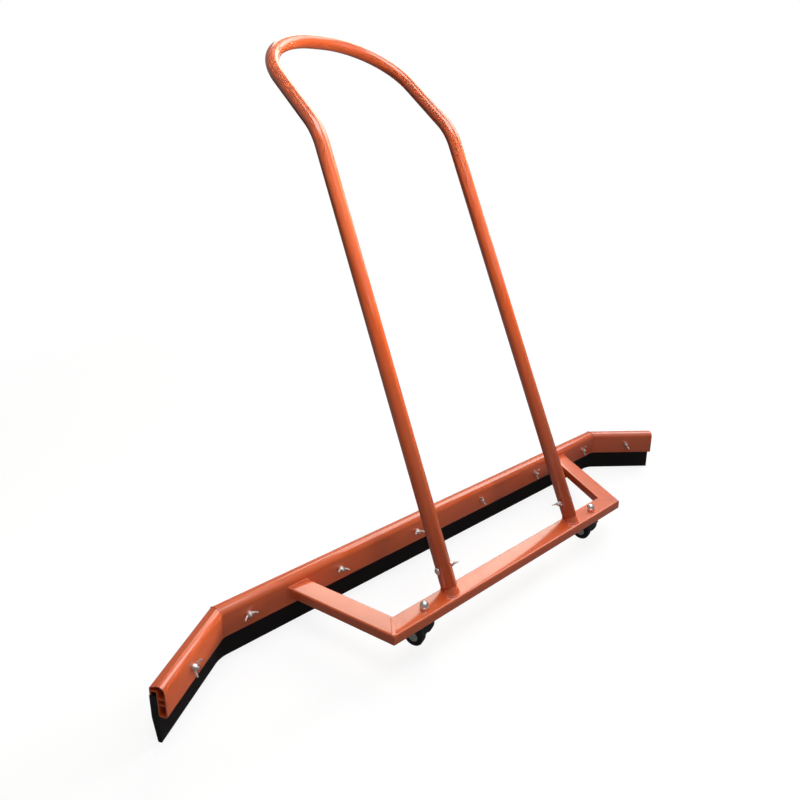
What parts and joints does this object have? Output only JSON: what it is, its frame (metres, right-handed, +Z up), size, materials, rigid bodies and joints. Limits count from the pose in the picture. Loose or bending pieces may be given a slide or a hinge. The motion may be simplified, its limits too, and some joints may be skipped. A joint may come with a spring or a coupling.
{
  "type": "tennis court squeegee",
  "caption": "Wide water squeegee for sports courts: a rubber strip in a rail with two wings bent forward, a tube frame on castors and a bent tube handle.",
  "frame": {"origin": "middle of the rubber strip's lower edge, on the ground it wipes", "axes": "+X along the strip to the user's right hand, +Y back from the castors over the strip towards the handle's top, +Z up"},
  "size_m": [1.4292, 0.7642, 1.1732],
  "materials": {
    "frame_paint": "orange powder coat, satin",
    "strip_rubber": "matte black",
    "fastener_zinc": "bright zinc plate",
    "dome_nut_chrome": "polished",
    "castor_plastic": "black moulded",
    "hub_cap_plastic": "light grey moulded"
  },
  "bodies": {
    "frame": {"rail_main": "frame_paint", "rail_wing_left": "frame_paint", "rail_wing_right": "frame_paint", "rubber_strip": "strip_rubber", "blade_bolt_1": "fastener_zinc", "blade_washer_1": "fastener_zinc", "blade_bolt_2": "fastener_zinc", "blade_washer_2": "fastener_zinc", "blade_bolt_3": "fastener_zinc", "blade_washer_3": "fastener_zinc", "blade_bolt_4": "fastener_zinc", "blade_washer_4": "fastener_zinc", "blade_bolt_5": "fastener_zinc", "blade_washer_5": "fastener_zinc", "blade_bolt_6": "fastener_zinc", "blade_washer_6": "fastener_zinc", "blade_bolt_7": "fastener_zinc", "blade_washer_7": "fastener_zinc", "blade_bolt_8": "fastener_zinc", "blade_washer_8": "fastener_zinc", "wheel_bar": "frame_paint", "side_arm_left": "frame_paint", "side_arm_right": "frame_paint", "handle_tube": "frame_paint", "handle_stub_left": "frame_paint", "handle_bolt_left": "fastener_zinc", "castor_stem_left": "fastener_zinc", "castor_dome_nut_left": "dome_nut_chrome", "handle_stub_right": "frame_paint", "handle_bolt_right": "fastener_zinc", "castor_stem_right": "fastener_zinc", "castor_dome_nut_right": "dome_nut_chrome"},
    "castor_left": {"castor_body_left": "castor_plastic", "castor_axle_left": "fastener_zinc"},
    "wheel_left_a": {"castor_wheel_left_a": "castor_plastic", "wheel_hub_cap_left_a": "hub_cap_plastic"},
    "wheel_left_b": {"castor_wheel_left_b": "castor_plastic", "wheel_hub_cap_left_b": "hub_cap_plastic"},
    "castor_right": {"castor_body_right": "castor_plastic", "castor_axle_right": "fastener_zinc"},
    "wheel_right_a": {"castor_wheel_right_a": "castor_plastic", "wheel_hub_cap_right_a": "hub_cap_plastic"},
    "wheel_right_b": {"castor_wheel_right_b": "castor_plastic", "wheel_hub_cap_right_b": "hub_cap_plastic"},
    "blade_nut_1": {"blade_wing_nut_1": "fastener_zinc"},
    "blade_nut_2": {"blade_wing_nut_2": "fastener_zinc"},
    "blade_nut_3": {"blade_wing_nut_3": "fastener_zinc"},
    "blade_nut_4": {"blade_wing_nut_4": "fastener_zinc"},
    "blade_nut_5": {"blade_wing_nut_5": "fastener_zinc"},
    "blade_nut_6": {"blade_wing_nut_6": "fastener_zinc"},
    "blade_nut_7": {"blade_wing_nut_7": "fastener_zinc"},
    "blade_nut_8": {"blade_wing_nut_8": "fastener_zinc"},
    "handle_nut_left": {"handle_wing_nut_left": "fastener_zinc"},
    "handle_nut_right": {"handle_wing_nut_right": "fastener_zinc"}
  },
  "joints": [
    {"name": "castor_left_swivel", "type": "hinge", "parent": "frame", "child": "castor_left", "pos_m": [-0.256, -0.22345, 0.0731], "axis": [0, 0, 1], "continuous": true},
    {"name": "wheel_left_a_spin", "type": "hinge", "parent": "castor_left", "child": "wheel_left_a", "pos_m": [-0.25975, -0.21418, 0.0466], "axis": [0.9272, 0.3746, 0], "continuous": true},
    {"name": "wheel_left_b_spin", "type": "hinge", "parent": "castor_left", "child": "wheel_left_b", "pos_m": [-0.25975, -0.21418, 0.0466], "axis": [0.9272, 0.3746, 0], "continuous": true},
    {"name": "castor_right_swivel", "type": "hinge", "parent": "frame", "child": "castor_right", "pos_m": [0.256, -0.22345, 0.0731], "axis": [0, 0, 1], "continuous": true},
    {"name": "wheel_right_a_spin", "type": "hinge", "parent": "castor_right", "child": "wheel_right_a", "pos_m": [0.25392, -0.21367, 0.0466], "axis": [0.9781, 0.2079, 0], "continuous": true},
    {"name": "wheel_right_b_spin", "type": "hinge", "parent": "castor_right", "child": "wheel_right_b", "pos_m": [0.25392, -0.21367, 0.0466], "axis": [0.9781, 0.2079, 0], "continuous": true},
    {"name": "blade_nut_1_turn", "type": "hinge", "parent": "frame", "child": "blade_nut_1", "pos_m": [-0.6364, -0.07592, 0.0818], "axis": [0.592, -0.8059, 0], "continuous": true},
    {"name": "blade_nut_2_turn", "type": "hinge", "parent": "frame", "child": "blade_nut_2", "pos_m": [-0.50925, -0.0198, 0.0818], "axis": [0, -1, 0], "continuous": true},
    {"name": "blade_nut_3_turn", "type": "hinge", "parent": "frame", "child": "blade_nut_3", "pos_m": [-0.30555, -0.0198, 0.0818], "axis": [0, -1, 0], "continuous": true},
    {"name": "blade_nut_4_turn", "type": "hinge", "parent": "frame", "child": "blade_nut_4", "pos_m": [-0.10185, -0.0198, 0.0818], "axis": [0, -1, 0], "continuous": true},
    {"name": "blade_nut_5_turn", "type": "hinge", "parent": "frame", "child": "blade_nut_5", "pos_m": [0.10185, -0.0198, 0.0818], "axis": [0, -1, 0], "continuous": true},
    {"name": "blade_nut_6_turn", "type": "hinge", "parent": "frame", "child": "blade_nut_6", "pos_m": [0.30555, -0.0198, 0.0818], "axis": [0, -1, 0], "continuous": true},
    {"name": "blade_nut_7_turn", "type": "hinge", "parent": "frame", "child": "blade_nut_7", "pos_m": [0.50925, -0.0198, 0.0818], "axis": [0, -1, 0], "continuous": true},
    {"name": "blade_nut_8_turn", "type": "hinge", "parent": "frame", "child": "blade_nut_8", "pos_m": [0.6364, -0.07592, 0.0818], "axis": [-0.592, -0.8059, 0], "continuous": true},
    {"name": "handle_nut_left_turn", "type": "hinge", "parent": "frame", "child": "handle_nut_left", "pos_m": [-0.1707, -0.1998, 0.13316], "axis": [1, 0, 0], "continuous": true},
    {"name": "handle_nut_right_turn", "type": "hinge", "parent": "frame", "child": "handle_nut_right", "pos_m": [0.1707, -0.1998, 0.13316], "axis": [-1, 0, 0], "continuous": true}
  ]
}
